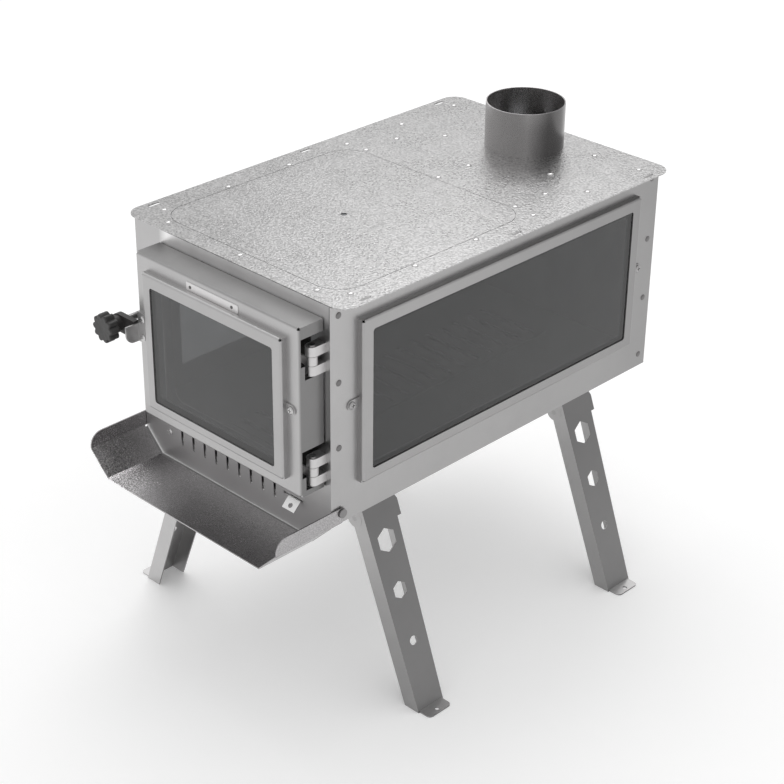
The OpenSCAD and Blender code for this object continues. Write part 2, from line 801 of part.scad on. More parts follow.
// Strips that hold the damper slide: one over its top edge, one along its foot with a riveted lug
module damper_guides() color("silver") placed() difference() {
    union() {
        difference() {
            block([guide_x0, sheet_t, slide_top - guide_lip], [guide_x1, guide_back, slide_top + guide_rise]);
            block([guide_x0 - over, sheet_t - over, slide_top - guide_lip - over],
                [guide_x1 + over, guide_back - sheet_t, slide_top + damper_gap]);
        }
        block([guide_x0, guide_back - sheet_t, sheet_t], [guide_x1, guide_back, sheet_t + guide_lip]);
        block([guide_x0, sheet_t, sheet_t], [guide_x0 + guide_lug_w, guide_back, guide_lug_top]);
    }
    front_rivet_places() cylinder(h = 8 * over, r = rivet_hole_r, center = true);
}

// Where the four legs stand: middle of the web at the head
module leg_places(left, right) {
    if (right) for (y = [leg_front_y, leg_front_y + leg_spacing]) translate([leg_web_x, y, 0]) children();
    if (left) for (y = [left_leg_front_y, left_leg_front_y + leg_spacing])
        translate([-left_web_x, y, 0]) mirror([1, 0, 0]) children();
}

// Lugs under the bottom panel, one between the flanges of each leg
module leg_brackets() color("silver") placed() leg_places(true, true) difference() {
    block([-leg_pivot_in - bracket_in, -bracket_half, -bracket_h],
        [-leg_pivot_in + bracket_out, bracket_half, 0]);
    block([-leg_pivot_in - bracket_in - over, -bracket_half + bracket_t, -bracket_h - over],
        [-leg_pivot_in + bracket_out + over, bracket_half - bracket_t, -bracket_t]);
    bar_y(-leg_pivot_in, -leg_pivot_down, leg_pin_r + pin_fit, -leg_head_w, leg_head_w);
}

// Pivot pins of the legs, flush with the flanges
module leg_pins() color("gray") placed() leg_places(true, true)
    bar_y(-leg_pivot_in, -leg_pivot_down, leg_pin_r, -leg_head_w / 2, leg_head_w / 2);

// Pivot pins of the front tray
module tray_pins() color("gray") placed() both_sides() {
    lip_out = tray_lip_x + sheet_t + damper_gap;
    bar_x(tray_pivot_y, tray_pivot_z, tray_pin_r, inner_x - sheet_t, lip_out);
    bar_x(tray_pivot_y, tray_pivot_z, tray_pin_head_r, lip_out, lip_out + tray_pin_head_h);
    bar_x(tray_pivot_y, tray_pivot_z, tray_pin_head_r, inner_x - sheet_t - tray_pin_head_h, inner_x - sheet_t);
}

// Door pan, folded back at all four sides, with a notch for each hinge
module door_pan() color("silver") placed() difference() {
    translate([door_mid, -door_gap, door_z + door_h / 2]) rotate([90, 0, 0])
        folded_pan(door_w, door_h, door_depth, sheet_t);
    sheet_xz(door_face - over, sheet_t + 2 * over)
        round_rect([door_frame_x0 + door_rim + gasket_lap, door_frame_z0 + door_rim + gasket_lap],
            [door_frame_x1 - door_rim - gasket_lap, door_frame_z1 - door_rim - gasket_lap], window_r);
    for (z = hinge_zs) {
        block([door_x1 - 2 * sheet_t, door_face + bend_r, z + notch_step],
            [door_x1 + over, over, z + hinge_stack + notch_high]);
        block([door_x1 - 2 * sheet_t, -notch_depth, z - hinge_head - gap],
            [door_x1 + over, over, z + notch_step + gap]);
    }
    block([door_x1 - 2 * sheet_t, -door_swing_gap, door_z - over], [door_x1 + over, over, door_z1 + over]);
    latch_rivet_places() cylinder(h = 8 * over, r = rivet_hole_r, center = true);
    facing_front(door_ear_x, door_face, door_ear_z)
        cylinder(h = 4 * over, r = screw_r + pin_fit, center = true);
}
door_ear_x = door_frame_x1 + door_ear_reach;
door_frame_mid_z = (door_frame_z0 + door_frame_z1) / 2;
door_ear_z = door_frame_mid_z + door_ear_up;

// Rivets of the latch bracket
module latch_rivet_places() {
    for (z = latch_rivet_zs) facing_front(door_x0 + latch_rivet_in, door_face - latch_t, z) children();
}

door_frame_w = door_frame_x1 - door_frame_x0;
door_frame_h = door_frame_z1 - door_frame_z0;

// Places a flat drawn piece on the front of the door
module on_door() {
    translate([(door_frame_x0 + door_frame_x1) / 2, door_face, door_frame_mid_z])
        rotate([90, 0, 0]) children();
}
module door_window_frame() color("silver") placed() on_door() {
    window_frame(door_frame_w, door_frame_h,
        [-door_frame_w / 2 + door_rim, -door_frame_h / 2 + door_rim_low],
        [door_frame_w / 2 - door_rim, door_frame_h / 2 - door_rim_high]);
    translate([door_frame_w / 2, door_ear_up, 0]) frame_ear(door_ear_reach);
}
module door_glass() color("darkslategray", 0.5) placed() on_door() pane(door_frame_w, door_frame_h);
module door_gasket() color("black") placed() on_door() seal(door_frame_w, door_frame_h,
    [-door_frame_w / 2 + door_rim + gasket_lap, -door_frame_h / 2 + door_rim + gasket_lap],
    [door_frame_w / 2 - door_rim - gasket_lap, door_frame_h / 2 - door_rim - gasket_lap]);

// Door halves of the hinges: a knuckle on an arm that is bent forward to the back of the door
module door_hinge_knuckles() color("silver") placed() for (z = hinge_zs) {
    z0 = z + knuckle_h + gap;
    leaf_back = door_face + sheet_t;
    leaf_x = hinge_x - leaf_reach;
    difference() {
        union() {
            bar_z(hinge_x, hinge_y, barrel_r, z0, z0 + leaf_h);
            block([leaf_x, hinge_y - barrel_r, z0], [hinge_x, hinge_y - barrel_r + leaf_t, z0 + leaf_h]);
            block([leaf_x, leaf_back, z0], [leaf_x + leaf_t, hinge_y - barrel_r + leaf_t, z0 + leaf_h]);
            block([leaf_x - leaf_foot, leaf_back, z0], [leaf_x + leaf_t, leaf_back + leaf_t, z0 + leaf_h]);
        }
        bar_z(hinge_x, hinge_y, hinge_pin_r + pin_fit, z0 - over, z0 + leaf_h + over);
    }
}

// Bracket on the door's free edge: a leaf on its face and an ear that stands forward
module latch_bracket() color("silver") placed() difference() {
    union() {
        block([door_x0, door_face - latch_t, latch_leaf_z0],
            [door_x0 + latch_leaf_w, door_face, latch_leaf_z0 + latch_leaf_h]);
        sheet_yz(door_x0 - latch_t, latch_t) {
            rect([door_face - latch_ear_reach + arm_half_h, latch_leaf_z0],
                [door_face, latch_leaf_z0 + 2 * arm_half_h]);
            rect([door_face - latch_ear_reach, latch_leaf_z0 + arm_half_h],
                [door_face, latch_leaf_z0 + 2 * arm_half_h]);
            translate([door_face - latch_ear_reach + arm_half_h, latch_leaf_z0 + arm_half_h])
                circle(arm_half_h);
        }
        block([door_x0 - latch_t, door_face - latch_t, latch_leaf_z0],
            [door_x0, door_face, latch_leaf_z0 + 2 * arm_half_h]);
    }
    latch_rivet_places() cylinder(h = 4 * over, r = rivet_hole_r, center = true);
}

// Black arm that carries the latch shaft beside the door
module latch_arm() color("black") placed() difference() {
    union() {
        sheet_xz(door_face - arm_t, arm_t) {
            rect([latch_x, latch_z - arm_half_h], [door_x0 - latch_t, latch_z + arm_half_h]);
            translate([latch_x, latch_z]) circle(arm_half_h);
        }
        bar_y(latch_x, latch_z, boss_r, door_face - arm_t - boss_h, door_face - arm_t);
    }
    bar_y(latch_x, latch_z, shaft_r + pin_fit, door_face - arm_t - boss_h - over, door_face + over);
}

// Rivets and the screw that show on the door's face
module door_fasteners() color("silver") placed() {
    latch_rivet_places() rivet(latch_t + sheet_t);
    facing_front(door_ear_x, door_face - sheet_t, door_ear_z) screw(screw_tail);
}

// Star knob with round lobes and its hub
module star_knob() color("black") placed() {
    lobe_r = knob_r / (1 + 1 / sin(180 / knob_lobes));
    knob_back = knob_face + knob_t;
    difference() {
        translate([latch_x, 0, latch_z]) sheet_xz(knob_face, knob_t) {
            circle(knob_r - lobe_r);
            for (i = [0 : knob_lobes - 1]) rotate(i * 360 / knob_lobes) translate([knob_r - lobe_r, 0])
                circle(lobe_r * lobe_share);
        }
        bar_y(latch_x, latch_z, knob_r / 2, knob_face - over, knob_face + knob_dish);
        bar_y(latch_x, latch_z, shaft_r + pin_fit, knob_face + knob_socket, knob_back + over);
    }
}

// Latch shaft with the tongue at its inner end
module latch_shaft() color("gray") placed() {
    bar_y(latch_x, latch_z, shaft_r, knob_face + knob_socket, tongue_y1);
    block([latch_x, tongue_y1 - tongue_t, latch_z - tongue_half],
        [latch_x + tongue_reach, tongue_y1, latch_z + tongue_half]);
    bar_y(latch_x, latch_z, shaft_r + collar_t, door_face + gap, door_face + gap + collar_t);
}

// Damper slide: a slotted strip behind the front panel, and its bent tab
module damper_slide() color("silver") placed() {
    lean = tab_len / sqrt(2);
    thick = sheet_t / sqrt(2);
    difference() {
        union() {
            block([damper_x0, damper_y0, damper_z0],
                [damper_x1, damper_y0 + sheet_t, damper_z0 + damper_h]);
            translate([tab_x0, 0, 0]) sheet_yz(0, tab_w) polygon([
                [damper_y0, tab_z], [damper_y0, tab_z + sheet_t],
                [-tab_out - thick / 2, tab_z + sheet_t], [-tab_out - lean - thick / 2, tab_z + sheet_t - lean],
                [-tab_out - lean + thick / 2, tab_z + sheet_t - lean - thick], [-tab_out, tab_z]]);
        }
        sheet_xz(damper_y0 - over, sheet_t + 2 * over) for (i = [0 : slot_n - 1])
            translate([slot_x0 + i * slot_pitch, damper_slot_z0])
                round_rect([-slot_w / 2, 0], [slot_w / 2, damper_slot_h], slot_w / 2 - gap / 4);
        translate([tab_x0 + tab_w / 2, -tab_out - tab_hole_at / sqrt(2),
            tab_z + sheet_t - tab_hole_at / sqrt(2)])
            rotate([45, 0, 0]) cylinder(h = 6 * over, r = tab_hole_r, center = true);
    }
}

// Front tray: floor, sloped sides and upright lips that run back to the pivots
module front_tray() color("silver") placed() {
    t = sheet_t;
    bevel = tray_bevel;
    lip_out = tray_lip_x + t;
    difference() {
        union() {
            sheet_xz(-tray_reach, tray_reach - tray_rear) {
                rect([-tray_floor_half, -apron_h - t], [tray_floor_half, -apron_h]);
                for (side = [0, 1]) mirror([side, 0]) polygon([[tray_floor_half, -apron_h],
                    [tray_lip_x, tray_kink_z], [lip_out, tray_kink_z - bevel],
                    [tray_floor_half + bevel, -apron_h - t], [tray_floor_half, -apron_h - t]]);
            }
            both_sides() sheet_yz(tray_lip_x, t) {
                rect([-tray_reach + tray_corner_r, tray_kink_z - bevel], [tray_pivot_y, tray_lip_h]);
                intersection() {
                    translate([-tray_reach + tray_corner_r, tray_lip_h - tray_corner_r]) circle(tray_corner_r);
                    rect([-tray_reach, tray_kink_z - bevel], [0, tray_lip_h]);
                }
                translate([tray_pivot_y, tray_pivot_z]) circle(tray_ear_r);
            }
        }
        both_sides() bar_x(tray_pivot_y, tray_pivot_z, tray_pin_r + pin_fit, half_w, lip_out + over);
        both_sides() block([tray_lip_x - over, -gap, tray_kink_z - 2 * bevel - over],
            [lip_out + over, tray_pivot_y, tray_pivot_z - tray_ear_r]);
    }
}

// Cooktop lid with its lifting hole
module cooktop_lid() color("gainsboro") placed() sheet_xy(body_h, sheet_t) difference() {
    round_rect([-lid_half_w, lid_front], [lid_half_w, lid_back], lid_r);
    translate([0, (lid_front + lid_back) / 2]) circle(lid_hole_r);
}

// Outline of the leg's web, as y and height, w wide at the head and foot_w at the foot
module web_outline(inset) {
    head = leg_head_w / 2 - inset;
    foot = leg_foot_w / 2 - inset;
    grow = (leg_head_w - leg_foot_w) / 2 / leg_len * leg_flange;
    polygon([[-head, 0], [head, 0],
        [foot - grow, -leg_len - leg_flange], [-foot + grow, -leg_len - leg_flange]]);
}

// One leg, with its web on the plane x = 0 at the head, leaning out to the right
module leg(shoulder) color("silver") {
    difference() {
        rotate([0, -leg_lean, 0]) difference() {
            union() {
                sheet_yz(-leg_flange, leg_flange) web_outline(0);
                bar_y(pivot_n, pivot_s, leg_ear_r, -leg_head_w / 2, leg_head_w / 2);
                if (shoulder) sheet_yz(-leg_t, leg_t) polygon([[0, 0], [leg_head_w / 2 + shoulder_out / 2, 0],
                    [leg_head_w / 2 + shoulder_out, -shoulder_out], [leg_head_w / 2 + shoulder_out, -shoulder_h],
                    [0, -shoulder_h]]);
            }
            translate([0, 0, over]) sheet_yz(-leg_flange - 2 * leg_ear_r, leg_flange + 2 * leg_ear_r - leg_t)
                web_outline(leg_t);
            translate([-over, 0, -big_hex_s]) rotate([0, 90, 0])
                cylinder(h = 3 * leg_t, r = big_hex_r, $fn = 6, center = true);
            translate([-over, 0, -small_hex_s]) rotate([0, 90, 0])
                cylinder(h = 3 * leg_t, r = small_hex_r, $fn = 6, center = true);
            translate([-over, 0, -web_hole_s]) rotate([0, 90, 0])
                cylinder(h = 3 * leg_t, r = web_hole_r, center = true);
            bar_y(pivot_n, pivot_s, leg_pin_r + pin_fit, -leg_head_w, leg_head_w);
        }
        block([-leg_len, -leg_head_w, -leg_drop - 2 * leg_len], [2 * leg_len, leg_head_w, -leg_drop]);
    }
    difference() {
        sheet_xy(-leg_drop, leg_t) {
            rect([leg_spread - leg_t, -foot_w / 2], [leg_spread + foot_out - foot_r, foot_w / 2]);
            rect([leg_spread, -foot_w / 2 + foot_r], [leg_spread + foot_out, foot_w / 2 - foot_r]);
            for (side = [-1, 1]) translate([leg_spread + foot_out - foot_r, side * (foot_w / 2 - foot_r)])
                circle(foot_r);
        }
        bar_z(leg_spread + foot_hole_out, 0, foot_hole_r, -leg_drop - over, -leg_drop + leg_t + over);
    }
}
module leg_front_right() placed() translate([leg_web_x, leg_front_y, 0]) leg(true);
module leg_rear_right() placed() translate([leg_web_x, leg_front_y + leg_spacing, 0]) leg(true);
module leg_front_left() placed() translate([-left_web_x, left_leg_front_y, 0]) mirror([1, 0, 0]) leg(false);
module leg_rear_left() placed()
    translate([-left_web_x, left_leg_front_y + leg_spacing, 0]) mirror([1, 0, 0])
    leg(false);

front_panel();
side_panel_right();
side_panel_left();
rear_panel();
bottom_panel();
top_plate();
lid_seat_strip();
flue_doubler();
flue_collar();
baffle();
firebox_floor();
grate();
window_frame_right();
window_frame_left();
window_glass_right();
window_glass_left();
window_gasket_right();
window_gasket_left();
top_rivets();
side_rivets();
front_rivets();
frame_screws();
hinge_blocks();
hinge_pins();
latch_keeper();
damper_guides();
leg_brackets();
leg_pins();
tray_pins();
door_pan();
door_window_frame();
door_glass();
door_gasket();
door_hinge_knuckles();
latch_bracket();
latch_arm();
door_fasteners();
star_knob();
latch_shaft();
damper_slide();
front_tray();
cooktop_lid();
leg_front_right();
leg_rear_right();
leg_front_left();
leg_rear_left();
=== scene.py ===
# %% [markdown]
# # A tent wood stove, dressed for its portrait
# The stove is a sheet steel firebox on four folding legs. It has a door with a window, a long window
# in each side, a lift-out cooking lid, a flue collar and a fold-up tray under the door.
# Its solids come ready made and measured, so Blender only adds what a solid can't say:
# the finish of each surface, a few small pieces with fine curves, the floor, the light and the camera.

# %% Load the measured stove
import json
import math

import bmesh
import bpy
import numpy as np
from mathutils import Matrix, Vector


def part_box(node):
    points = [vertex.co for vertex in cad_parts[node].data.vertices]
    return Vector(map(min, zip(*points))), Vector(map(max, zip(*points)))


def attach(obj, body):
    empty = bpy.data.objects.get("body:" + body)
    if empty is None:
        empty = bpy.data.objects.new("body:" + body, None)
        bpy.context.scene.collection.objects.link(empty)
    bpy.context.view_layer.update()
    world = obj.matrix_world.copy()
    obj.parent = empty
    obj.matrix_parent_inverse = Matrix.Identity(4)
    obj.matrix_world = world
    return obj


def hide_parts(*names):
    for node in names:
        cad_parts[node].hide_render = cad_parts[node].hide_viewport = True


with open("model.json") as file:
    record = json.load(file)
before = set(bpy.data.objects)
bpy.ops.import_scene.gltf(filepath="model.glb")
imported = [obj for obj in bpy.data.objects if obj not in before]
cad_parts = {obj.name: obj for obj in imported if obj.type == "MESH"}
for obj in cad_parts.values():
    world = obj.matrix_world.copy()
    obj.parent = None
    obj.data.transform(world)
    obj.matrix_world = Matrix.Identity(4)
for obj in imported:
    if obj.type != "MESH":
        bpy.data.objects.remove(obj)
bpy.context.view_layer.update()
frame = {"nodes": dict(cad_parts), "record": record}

stove = frame["nodes"]

# %% [markdown]
# ## Where the firebox stands
# The frame's zero is on the ground under the middle of the whole stove. Some marks and small pieces
# are easier to place from the firebox: its centre line, its front sheet, its floor and its flue.
# Named once here, in metres, they keep every later number short.

# %% Name the firebox's own places
centre_line = -0.02325
front_sheet = -0.170
rear_sheet = 0.230
box_floor = 0.170138
flue_middle = (centre_line, 0.1815, 0)
print("firebox floor is", round(box_floor * 1000), "mm above the ground")

# %% [markdown]
# ## The camera
# The portrait looks down on the front right corner through a long lens. A camera in Blender looks along
# its own minus Z axis, with X to its right and Y up. So its turn is a matrix of three columns: the
# direction to its right, the direction up, and the direction from the stove back to the camera.
# Three angles give all of them: the turn round the stove, the height above the floor, and a slight roll.
# Aiming the camera at a target would be quicker, but it can't hold a roll.

# %% Stand the camera
camera_place = Vector((1.018396, -1.054950, 1.001211))
turn = 0.7716619
height_angle = 0.5045914
roll = 0.0113137
film_width = 36
focal_length = 88.127

back = Vector((
    math.sin(turn) * math.cos(height_angle),
    -math.cos(turn) * math.cos(height_angle),
    math.sin(height_angle),
))
level = Vector((math.cos(turn), math.sin(turn), 0))
upright = back.cross(level)
right = math.cos(roll) * level + math.sin(roll) * upright
up = math.cos(roll) * upright - math.sin(roll) * level

camera = bpy.data.objects.new("portrait_camera", bpy.data.cameras.new("portrait_camera"))
camera.data.sensor_width = film_width
camera.data.lens = focal_length
camera.data.clip_start = 0.05
camera.data.clip_end = 60
camera.matrix_world = Matrix.Translation(camera_place) @ Matrix((right, up, back)).transposed().to_4x4()
bpy.context.scene.collection.objects.link(camera)
bpy.context.scene.camera = camera
print("lens", focal_length, "mm, standing", round(camera_place.length, 2), "m away")

# %% [markdown]
# ## The studio
# Bare steel has hardly any colour of its own: it shows the room. A white studio is a bright sky all
# round, a white floor that mirrors in the upright sheets, and wide lamps with soft edges.
# A picture of a room wrapped round the scene would do too, but plain white gives calm, even sheets.
# The rear lamp hangs behind the stove, where the top plate's front corner and the feet mirror it.
# Plain colour management keeps the greys as they are worked out.

# %% Light the studio
sky_strength = 0.78
lamp_aim = Vector((0, 0, 0.2))


def soft_lamp(name, place, size, watts):
    """A square lamp of the given size in metres at its place, with its face turned to the stove."""
    lamp = bpy.data.lights.new(name, "AREA")
    lamp.shape = "SQUARE"
    lamp.size = size
    lamp.energy = watts
    stand = bpy.data.objects.new(name, lamp)
    look = lamp_aim - Vector(place)
    stand.matrix_world = Matrix.Translation(place) @ look.to_track_quat("-Z", "Y").to_matrix().to_4x4()
    bpy.context.scene.collection.objects.link(stand)
    return stand


sky = bpy.data.worlds.new("studio_sky")
sky.use_nodes = True
sky.node_tree.nodes["Background"].inputs["Color"].default_value = (1, 1, 1, 1)
sky.node_tree.nodes["Background"].inputs["Strength"].default_value = sky_strength
bpy.context.scene.world = sky
bpy.context.scene.view_settings.view_transform = "Standard"
bpy.context.scene.view_settings.look = "None"

lamps = [
    soft_lamp("overhead_lamp", place=(-0.7, 0.6, 2.4), size=1.6, watts=13),
    soft_lamp("rear_lamp", place=(-0.85, 1.25, 1.70), size=0.9, watts=3.6),
]
print("lamps:", [(lamp.name, lamp.data.energy) for lamp in lamps])

# %% [markdown]
# ## How a finish is mixed
# A material in Blender is a chain of small steps that ends in one shader. Every finish here is such a
# chain, started at the piece's own coordinates in metres, so a grain of 1 mm is 1 mm on every piece.
# Numbers that are the same all over sit on the shader's own sockets. What varies is worked out in steps:
# clouds of noise for smudges and grain, a mask for edges that are lighter partly from wear and partly as a
# painted highlight, shares by facing for painted light and shade, and a bump for dents and pores.
# The steps could be wired by hand in the shader editor. Written as methods, one recipe serves many steels.

# %% A bench for mixing finishes
class Finish:
    """One material. Each method adds a step to its chain and gives back that step's result."""

    def __init__(self, name, **fixed):
        self.material = bpy.data.materials.new(name)
        self.material.use_nodes = True
        self.tree = self.material.node_tree
        self.shader = self.tree.nodes["Principled BSDF"]
        for socket, value in fixed.items():
            self.shader.inputs[socket.replace("_", " ")].default_value = value
        self.coordinates = self.step("ShaderNodeTexCoord")
        self.place = self.coordinates.outputs["Object"]

    def step(self, kind, inputs=(), **settings):
        """A node of that kind, with its sockets set or joined to earlier results."""
        made = self.tree.nodes.new(kind)
        for key, value in settings.items():
            setattr(made, key, value)
        for socket, value in dict(inputs).items():
            if isinstance(value, bpy.types.NodeSocket):
                self.tree.links.new(value, made.inputs[socket])
            else:
                made.inputs[socket].default_value = value
        return made

    def cloud(self, size, detail=2):
        """Noise with blots about size metres across."""
        inputs = {"Vector": self.place, "Scale": 1 / size, "Detail": detail, "Roughness": 0.6}
        return self.step("ShaderNodeTexNoise", inputs).outputs["Fac"]

    def spread(self, value, low, high, start=0.3, stop=0.7):
        """The value's range from start to stop, carried to low and high."""
        ends = {"Value": value, "From Min": start, "From Max": stop, "To Min": low, "To Max": high}
        return self.step("ShaderNodeMapRange", ends).outputs["Result"]

    def reckon(self, a, operation, b=0):
        """One or two values joined by plain arithmetic."""
        return self.step("ShaderNodeMath", {0: a, 1: b}, operation=operation).outputs[0]

    def plus(self, a, b):
        """The sum of two values."""
        return self.reckon(a, "ADD", b)

    def times(self, a, b):
        """The product of two values."""
        return self.reckon(a, "MULTIPLY", b)

    def along(self, axis):
        """How far the place lies along an axis: 0 for x, 1 for y, 2 for z."""
        return self.step("ShaderNodeSeparateXYZ", {0: self.place}).outputs[axis]

    def distance(self, point, target):
        """How far a point lies from a fixed target."""
        ends = {0: point, 1: target}
        return self.step("ShaderNodeVectorMath", ends, operation="DISTANCE").outputs["Value"]

    def between(self, amount, dark, light):
        """A colour on the way from dark, where the amount is 0, to light, where it is 1."""
        ends = {0: amount, 6: (*dark, 1), 7: (*light, 1)}
        return self.step("ShaderNodeMix", ends, data_type="RGBA").outputs[2]

    def dim(self, colour, amount):
        """The colour times the amount."""
        return self.step("ShaderNodeVectorMath", {0: colour, "Scale": amount}, operation="SCALE").outputs[0]

    def worn_and_lit_edges(self, width):
        """1 along outer and inner edges, 0 elsewhere: how far a rounded edge's direction leaves the flat
        one's, as the product of the two directions."""
        soft = self.step("ShaderNodeBevel", {"Radius": width}, samples=4).outputs["Normal"]
        flat = self.step("ShaderNodeNewGeometry").outputs["Normal"]
        ends = {0: soft, 1: flat}
        same = self.step("ShaderNodeVectorMath", ends, operation="DOT_PRODUCT").outputs["Value"]
        return self.spread(same, 1, 0, start=0.85, stop=0.999)

    def paint_facing_light(self, side, front, top):
        """Painted light and shade: three shares blended by where the surface looks in the piece's own
        space: to a side, ahead or up. The squares of a direction's three parts add up to 1, so they serve
        as weights."""
        look = self.coordinates.outputs["Normal"]
        square = self.step("ShaderNodeVectorMath", {0: look, 1: look}, operation="MULTIPLY").outputs[0]
        shares = {0: square, 1: (side, front, top)}
        return self.step("ShaderNodeVectorMath", shares, operation="DOT_PRODUCT").outputs["Value"]

    def dent(self, height, depth):
        """A surface direction tilted as if the height stood depth metres proud."""
        inputs = {"Height": height, "Strength": 1, "Distance": depth}
        return self.step("ShaderNodeBump", inputs).outputs["Normal"]

    def finish(self, **results):
        """Joins results to the shader's sockets, and gives back the material."""
        for socket, value in results.items():
            self.tree.links.new(value, self.shader.inputs[socket.replace("_", " ")])
        return self.material


print("steps:", [name for name in vars(Finish) if not name.startswith("_")])

# %% [markdown]
# ## Sheet steel
# Thin stainless sheet leaves the mill cold rolled: a satin skin that mirrors the room as a soft blur.
# Handling leaves smudges a hand wide, and edges are a little brighter, partly from bending and shipping
# and partly as a painted highlight.
# Every steel of the stove uses this one recipe, with its own tone, gloss and grain. A photograph of
# steel wrapped on each piece would show its seams and repeats, and noise in metres has neither.

# %% Mix a bare steel
smudge_size = 0.06
edge_wear_and_light_gain = 0.10
tone_swing = 0.25
gloss_swing = 0.03
smooth_share, rough_share = 0.9, 1.12


def steel(name, tone, gloss, grain=0.0004, depth=0.00001, speckle=0.03, smudge=0.05, edge=0.0006,
          faces=(1, 1, 1), marks=None):
    """Bare steel. Tone is how much light it gives back, gloss the roughness of its mirror.
    Grain and depth are the width and height of its pores. Speckle and smudge are how far fine grain
    and wide smudges shift the tone, and edge is the width of the band along edges that is lighter,
    partly from wear and partly as a painted highlight. Faces are the shares of the tone on side, front
    and top faces, a painted light and shade by facing, and marks gives a share for each place."""
    made = Finish(name, Metallic=1.0)
    fine = made.cloud(grain, detail=1)
    wide = made.cloud(smudge_size, detail=3)
    shade = made.plus(made.spread(fine, -speckle, speckle), made.spread(wide, -smudge, smudge))
    # Edges are lighter, partly from wear and partly as a painted highlight.
    shade = made.plus(shade, made.times(made.worn_and_lit_edges(edge), edge_wear_and_light_gain))
    dark = [part * (1 - tone_swing) for part in tone]
    light = [min(1, part * (1 + tone_swing)) for part in tone]
    colour = made.between(made.spread(shade, 0, 1, start=-tone_swing, stop=tone_swing), dark, light)
    # Painted light and shade: the tone is scaled by which way each face looks.
    if faces != (1, 1, 1):
        colour = made.dim(colour, made.paint_facing_light(*faces))
    if marks:
        colour = made.dim(colour, marks(made))
    rough = made.spread(wide, gloss * smooth_share, gloss * rough_share)
    rough = made.plus(rough, made.spread(fine, -gloss_swing, gloss_swing))
    return made.finish(Base_Color=colour, Roughness=rough, Normal=made.dent(fine, depth))


print("smudges are about", round(smudge_size * 1000), "mm wide")

# %% [markdown]
# ## Painted shade and light, and a bright corner
# Some sheets aren't even. Painted shade darkens the front sheet under the tray, a band up the flue's side,
# the legs toward the foot and the hinge, and the sides toward the rear. Painted light brightens the strip
# over the door and the flue's far side and bore, and the tray's front left corner is brighter and speckled.
# Each mark is a share from dark to bright that the steel's tone is multiplied by, and it fades in and out
# between two places on the piece. Painting the marks by hand on an unwrapped piece is the usual way.
# Here a mark is a range of a coordinate, which needs no unwrapping.

# %% Paint shade and light on the front sheet
tray_floor = box_floor - 0.0195
tray_half_width = 0.095


def front_painted_shade_and_light(made):
    """Painted shade and painted light: a share that is low under the tray's surface, a painted shade along
    the seam: the higher of the tray's floor and its slopes of 45 degrees at both sides. It is high in the
    strip over the door, a painted light."""
    out = made.reckon(made.plus(made.along(0), -centre_line), "ABSOLUTE")
    surface = made.reckon(made.plus(out, tray_floor - tray_half_width), "MAXIMUM", tray_floor)
    above = made.reckon(made.along(2), "SUBTRACT", surface)
    # Painted shade: the sheet is darkened under the tray's surface.
    painted_seam_shade = made.spread(above, 0.2, 1, start=-0.0004, stop=0.0002)
    # Painted light: the strip over the door is brightened.
    high_up = made.spread(made.along(2), 0, 1, start=0.349, stop=0.355)
    behind_door = made.spread(made.along(0), 0, 1, start=-0.108, stop=-0.098)
    painted_strip_light = made.plus(made.times(made.times(high_up, behind_door), 0.85), 1)
    return made.times(painted_seam_shade, painted_strip_light)


print("tray floor at", round(tray_floor * 1000, 1), "mm")

# %% Paint shade and light on the flue, the legs and the sides, and brighten the tray's corner
tube_bore = 0.035
foot_height, hinge_height = 0.03, 0.15
bright_corner_spot = (-0.118, -0.229, 0.151)


def tube_painted_shade_and_light(made):
    """Painted shade and light: a share that is low in a soft band up the tube's side, higher on the side
    across from it, and high inside."""
    level_place = {0: made.place, 1: (1, 1, 0)}
    flat = made.step("ShaderNodeVectorMath", level_place, operation="MULTIPLY").outputs[0]
    # Painted shade: a darker band up the tube's side.
    painted_side_shade = made.spread(made.along(0), 1, 0.34, start=0.0015, stop=0.0110)
    # Painted light: the side across from it is brighter.
    across = made.spread(made.along(0), 1.28, 1, start=-0.046, stop=-0.008)
    reach = made.distance(flat, flue_middle)
    # Painted light: the tube's inner wall is brighter.
    inside = made.spread(reach, 1.4, 1, start=tube_bore - 0.0001, stop=tube_bore + 0.0001)
    return made.times(made.times(painted_side_shade, across), inside)


def leg_painted_shade(made):
    """A painted shade: a share that falls toward the foot of a leg on its narrow walls, and toward its
    hinge on the wide one."""
    z = made.along(2)
    narrow = made.spread(z, 0.74, 1, start=foot_height, stop=hinge_height)
    wide = made.spread(z, 0.61, 0.48, start=foot_height, stop=hinge_height)
    return made.plus(narrow, made.times(made.paint_facing_light(1, 0, 0), made.reckon(wide, "SUBTRACT", narrow)))


def painted_rear_shade(made):
    """A painted shade: a share that falls from the door to the rear."""
    return made.spread(made.along(1), 1.10, 0.78, start=front_sheet, stop=rear_sheet)


def bright_speckled_corner(made):
    """A share that rises, speckled, toward the tray's front left corner."""
    sparks = made.spread(made.cloud(0.0016), 0.8, 2.6, start=0.35, stop=0.6)
    near = made.spread(made.distance(made.place, bright_corner_spot), 1, 0, start=0.008, stop=0.045)
    return made.plus(made.times(near, made.reckon(sparks, "SUBTRACT", 1)), 1)


print("marks:", [mark.__name__ for mark in (front_painted_shade_and_light, tube_painted_shade_and_light, leg_painted_shade, painted_rear_shade, bright_speckled_corner)])
